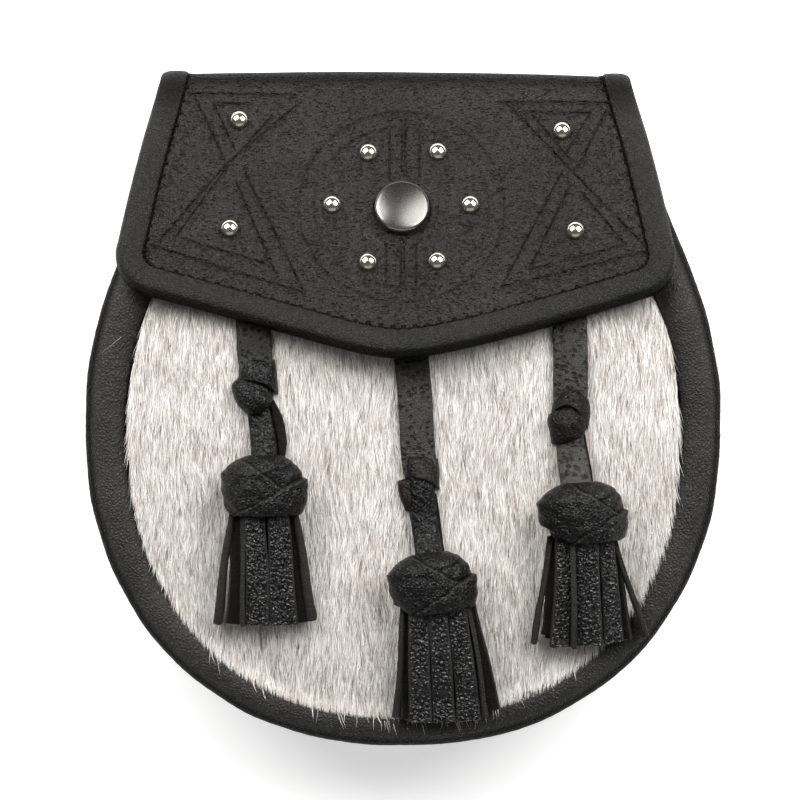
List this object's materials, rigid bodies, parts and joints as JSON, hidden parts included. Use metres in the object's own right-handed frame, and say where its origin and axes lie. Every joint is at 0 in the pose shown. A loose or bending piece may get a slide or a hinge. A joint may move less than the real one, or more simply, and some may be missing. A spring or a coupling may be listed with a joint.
{
  "type": "sporran pouch",
  "caption": "Leather sporran pouch with a furred front, padded edge roll, bound snap flap, belt loops on the back and leather tassels on straps.",
  "frame": {"origin": "middle of the pouch's bounding box, on the surface on which it lies on its back", "axes": "+X across the pouch to the right, +Y towards the fold at its top, +Z out of its front"},
  "size_m": [0.1898, 0.2037, 0.0608],
  "materials": {
    "leather": "black grained leather, matt",
    "strap_leather": "black strap leather with open pores, matt",
    "tassel_leather": "black crinkled leather, half gloss",
    "fur": "short white fur with grey shading",
    "steel": "satin steel",
    "nickel": "polished nickel"
  },
  "bodies": {
    "root": {"back_panel": "leather", "gusset": "leather", "front_panel": "fur", "edge_roll": "leather", "flap": "leather", "flap_binding": "leather", "snap_cap": "steel", "snap_stud": "steel", "rivet_01": "nickel", "rivet_02": "nickel", "rivet_03": "nickel", "rivet_04": "nickel", "rivet_05": "nickel", "rivet_06": "nickel", "rivet_07": "nickel", "rivet_08": "nickel", "rivet_09": "nickel", "rivet_10": "nickel", "belt_loop_left": "leather", "belt_loop_right": "leather", "strap_left": "strap_leather", "strap_middle": "strap_leather", "strap_right": "strap_leather", "knot_left": "strap_leather", "knot_middle": "strap_leather", "knot_right": "strap_leather", "tassel_left": "tassel_leather", "tassel_middle": "tassel_leather", "tassel_right": "tassel_leather"}
  },
  "joints": []
}
